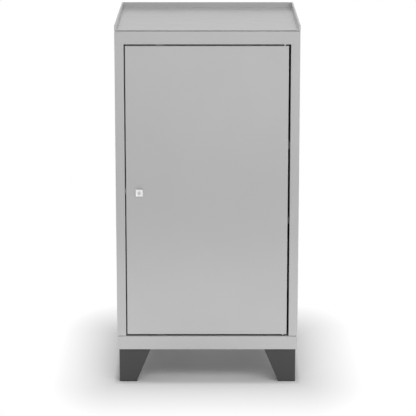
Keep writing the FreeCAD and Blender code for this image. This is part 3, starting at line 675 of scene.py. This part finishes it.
@dataclass
class CamLock:
    """The turning part of the lock: plug, cam and screw."""

    head_radius: float = 4 * MM
    head_height: float = 2.4 * MM
    rim_share: float = 0.45  # of the head's height, below the dome
    dome_step: int = 15  # degrees
    shank_radius: float = 2 * MM
    recess_width: float = 1.1 * MM
    recess_length: float = 4.6 * MM
    recess_depth: float = 1.3 * MM
    cutter_excess: float = 0.5 * MM
    merge: float = 0.001 * MM  # points nearer than this become one
    segments: int = 40

    def head_profile(self, length: float) -> list[tuple[float, float]]:
        """Return the (radius, height) points of a domed screw with its shank below.

        Args:
            length: The whole screw's length.

        Returns:
            The points, from the shank's end to the top of the dome.
        """
        shank = length - self.head_height
        dome = []
        for degrees in range(90, -1, -self.dome_step):
            angle = math.radians(degrees)
            rise = self.rim_share + (1 - self.rim_share) * math.cos(angle)
            dome.append((self.head_radius * math.sin(angle), self.head_height * rise))
        return [(0.0, -shank), (self.shank_radius, -shank), (self.shank_radius, 0.0),
                (self.head_radius, 0.0), *dome]

    def blank(self, length: float) -> bpy.types.Object:
        """Turn the screw, still without its recess.

        Args:
            length: The whole screw's length.

        Returns:
            The screw, upright on Z with the seat of its head at 0.
        """
        body = bmesh.new()
        ring = [body.verts.new((radius, 0.0, height))
                for radius, height in self.head_profile(length)]
        sides = [body.edges.new(pair) for pair in zip(ring, ring[1:])]
        bmesh.ops.spin(body, geom=[*ring, *sides], cent=(0, 0, 0), axis=(0, 0, 1),
                       angle=math.tau, steps=self.segments)
        bmesh.ops.remove_doubles(body, verts=body.verts, dist=self.merge)
        return loose("cam_screw_domed", body)

    def cross(self) -> bpy.types.Object:
        """Return the cross-shaped cutter of the recess."""
        cutter = bmesh.new()
        top = self.head_height + self.cutter_excess
        bottom = self.head_height - self.recess_depth
        arm, half = self.recess_length / 2, self.recess_width / 2
        outline = [(half, arm), (half, half), (arm, half)]
        for _ in range(3):
            outline += [(y, -x) for x, y in outline[-3:]]
        base = cutter.faces.new([cutter.verts.new((x, y, bottom)) for x, y in outline])
        raised = bmesh.ops.extrude_face_region(cutter, geom=[base])["geom"]
        corners = [item for item in raised if isinstance(item, bmesh.types.BMVert)]
        bmesh.ops.translate(cutter, vec=(0.0, 0.0, top - bottom), verts=corners)
        return loose("recess_cutter", cutter)

    def screw(self) -> None:
        """Press the cross recess into the screw and put it in the plain one's place."""
        low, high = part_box("cam_screw")
        centre = (low + high) / 2
        blank = self.blank(high.y - low.y)
        blank.data.materials.append(made(ZINC))
        cutter = self.cross()
        cut = blank.modifiers.new("recess", "BOOLEAN")
        cut.operation = "DIFFERENCE"
        cut.object = cutter
        shown = blank.evaluated_get(bpy.context.evaluated_depsgraph_get())
        pressed = bpy.data.meshes.new_from_object(shown)
        bpy.data.objects.remove(cutter)
        bpy.data.objects.remove(blank)
        pressed.transform(facing_back(centre.x, high.y - self.head_height, centre.z))
        piece = link("cam_screw_domed", pressed, "lock")
        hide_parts("cam_screw")

    def make(self) -> None:
        """Dress the turning part and replace its plain screw."""
        dress(PLUG_PLATE, ("lock_plug",))
        dress(ZINC, ("lock_cam", "cam_screw"))
        self.screw()


@dataclass(frozen=True)
class Lamp:
    """A soft lamp: its name, where it hangs and its power in watts."""

    name: str
    place: tuple[float, float, float]
    power: float


LAMPS = (
    Lamp("overhead", (0.0, 0.0, 3.4), 11.0),
    Lamp("front", (0.55, -1.9, 1.95), 27.5),
    Lamp("rear", (-0.4, 2.4, 1.3), 13.0),
    Lamp("left", (-3.4, 0.0, 0.85), 18.0),
    Lamp("right", (3.4, 0.0, 0.85), 24.0),
)


@dataclass
class Studio:
    """A white floor under soft light, and the camera. Lengths are in metres."""

    floor_half: float = 40.0
    footprint: float = 0.25  # half of the object's width and depth
    depth_share: float = 0.6  # what a metre in front or behind counts in the shadow's fading
    paper_colour: str = "#e4e4e4"
    # The floor's strength at each distance, as the camera, a gloss and other rays see it; for a
    # gloss and other rays this is a painted glow, not lit paper
    seen_white: Stops = ((0.0, 0.0), (0.012, 0.27), (0.18, 1.0))
    painted_glow_in_gloss: Stops = ((0.3, 1.05), (0.6, 1.5), (1.5, 1.5), (1.9, 0.2), (2.9, 0.2), (4.4, 1.7))
    painted_bounce_glow: Stops = ((0.26, 0.15), (0.42, 1.35), (1.2, 1.2), (1.9, 0.3))
    # The sky's strength as light, and how far from there towards 1 a gloss sees it
    fill: float = 0.36
    sky_in_gloss: float = 0.65
    lamp_size: tuple[float, float] = (3.0, 1.0)
    aim: tuple[float, float, float] = (0.0, 0.0, 0.9)
    eye: tuple[float, float, float] = (0.0017, -5.594, 1.723)
    pitch: float = 12.91  # degrees down
    lens: float = 173.6  # mm
    clip_end: float = 200.0

    def paper(self) -> bpy.types.Material:
        """Build the floor's white paper.

        The eye sees the object's shadow near its foot, further out in front and behind than
        at the sides, and plain white beyond. A gloss sees a painted glow in the floor: a bright
        sheet near the object, a dimmer ring round it and white beyond. Other rays meet a
        painted glow that lights the object's sides from below in place of bounce light.
        """
        material, tree = new_material("white_paper_floor")
        place = add_node(tree, "ShaderNodeTexCoord").outputs["Object"]
        ray = add_node(tree, "ShaderNodeLightPath").outputs
        away = add_node(tree, "ShaderNodeVectorMath", {0: place}, operation="LENGTH")
        flipped = add_node(tree, "ShaderNodeVectorMath", {0: place}, operation="ABSOLUTE")
        beyond = add_node(tree, "ShaderNodeVectorMath", {
            0: flipped.outputs["Vector"], 1: (self.footprint, self.footprint, 0.0)},
            operation="SUBTRACT")
        outside = add_node(tree, "ShaderNodeVectorMath", {
            0: beyond.outputs["Vector"], 1: (0.0, 0.0, 0.0)}, operation="MAXIMUM")
        narrowed = add_node(tree, "ShaderNodeVectorMath", {
            0: outside.outputs["Vector"], 1: (1.0, self.depth_share, 1.0)}, operation="MULTIPLY")
        gap = add_node(tree, "ShaderNodeVectorMath", {
            0: narrowed.outputs["Vector"]}, operation="LENGTH")
        paper = add_node(tree, "ShaderNodeBsdfDiffuse", {"Color": linear(self.paper_colour)})
        white = add_node(tree, "ShaderNodeEmission", {"Strength": 1.0})
        shadowed = add_node(tree, "ShaderNodeMixShader", {
            0: graded(tree, gap.outputs["Value"], self.seen_white),
            1: paper.outputs["BSDF"], 2: white.outputs["Emission"]})
        # Painted light: for rays other than camera and gloss rays the floor glows, strongest in a
        # ring round the object, and lights the object's sides from below in place of bounce light.
        bounce_glow = add_node(tree, "ShaderNodeEmission", {
            "Strength": graded(tree, away.outputs["Value"], self.painted_bounce_glow)})
        direct = add_node(tree, "ShaderNodeMixShader", {
            0: ray["Is Camera Ray"], 1: bounce_glow.outputs["Emission"], 2: shadowed.outputs["Shader"]})
        # Painted reflection: for gloss rays the floor glows as a bright sheet near the object, a
        # dimmer ring round it and white beyond.
        gloss = add_node(tree, "ShaderNodeEmission", {
            "Strength": graded(tree, away.outputs["Value"], self.painted_glow_in_gloss)})
        surface = add_node(tree, "ShaderNodeMixShader", {
            0: ray["Is Glossy Ray"], 1: direct.outputs["Shader"], 2: gloss.outputs["Emission"]})
        add_node(tree, "ShaderNodeOutputMaterial", {"Surface": surface.outputs["Shader"]})
        return material

    def floor(self) -> None:
        """Lay the floor."""
        mesh = bpy.data.meshes.new("floor")
        reach = self.floor_half
        mesh.from_pydata(
            [(-reach, -reach, 0), (reach, -reach, 0), (reach, reach, 0), (-reach, reach, 0)],
            [], [(0, 1, 2, 3)])
        piece = bpy.data.objects.new("floor", mesh)
        bpy.context.scene.collection.objects.link(piece)
        mesh.materials.append(self.paper())

    def light(self, lamp: Lamp) -> None:
        """Hang a lamp that lights things but isn't mirrored in them.

        Args:
            lamp: The lamp.
        """
        data = bpy.data.lights.new(lamp.name, "AREA")
        data.shape = "RECTANGLE"
        data.size, data.size_y = self.lamp_size
        data.energy = lamp.power
        hung = bpy.data.objects.new(lamp.name, data)
        bpy.context.scene.collection.objects.link(hung)
        hung.location = lamp.place
        hung.visible_glossy = False
        hung.rotation_mode = "QUATERNION"
        towards = Vector(self.aim) - Vector(lamp.place)
        hung.rotation_quaternion = towards.to_track_quat("-Z", "Y")

    def world(self) -> None:
        """Surround everything with an even white that is stronger where it is seen."""
        world = bpy.data.worlds.new("white_room")
        world.use_nodes = True
        tree = world.node_tree
        tree.nodes.clear()
        ray = add_node(tree, "ShaderNodeLightPath").outputs
        mirrored = add_node(tree, "ShaderNodeMath", {
            0: ray["Is Glossy Ray"], 1: self.sky_in_gloss}, operation="MULTIPLY")
        seen = add_node(tree, "ShaderNodeMath", {
            0: ray["Is Camera Ray"], 1: mirrored.outputs["Value"]}, operation="MAXIMUM")
        strength = add_node(tree, "ShaderNodeMapRange", {
            "Value": seen.outputs["Value"], "To Min": self.fill, "To Max": 1.0})
        sky = add_node(tree, "ShaderNodeBackground", {
            "Color": (1.0, 1.0, 1.0, 1.0), "Strength": strength.outputs["Result"]})
        add_node(tree, "ShaderNodeOutputWorld", {"Surface": sky.outputs["Background"]})
        bpy.context.scene.world = world

    def camera(self) -> None:
        """Stand the camera in front, above the top and looking a little down."""
        data = bpy.data.cameras.new("camera")
        data.lens = self.lens
        data.clip_end = self.clip_end
        camera = bpy.data.objects.new("camera", data)
        bpy.context.scene.collection.objects.link(camera)
        camera.location = self.eye
        camera.rotation_euler = (math.radians(90 - self.pitch), 0.0, 0.0)
        bpy.context.scene.camera = camera

    def make(self) -> None:
        """Build the whole setting."""
        self.floor()
        self.world()
        for lamp in LAMPS:
            self.light(lamp)
        self.camera()
        bpy.context.scene.view_settings.view_transform = "Standard"


def main() -> None:
    """Build every sub-assembly and the studio."""
    logging.basicConfig(level=logging.INFO, format="%(name)s: %(message)s")
    for part in (Carcass(), Undercarriage(), Door(), CamLock(), Studio()):
        part.make()
        LOG.info("%s built", type(part).__name__)


if __name__ == "__main__":
    main()
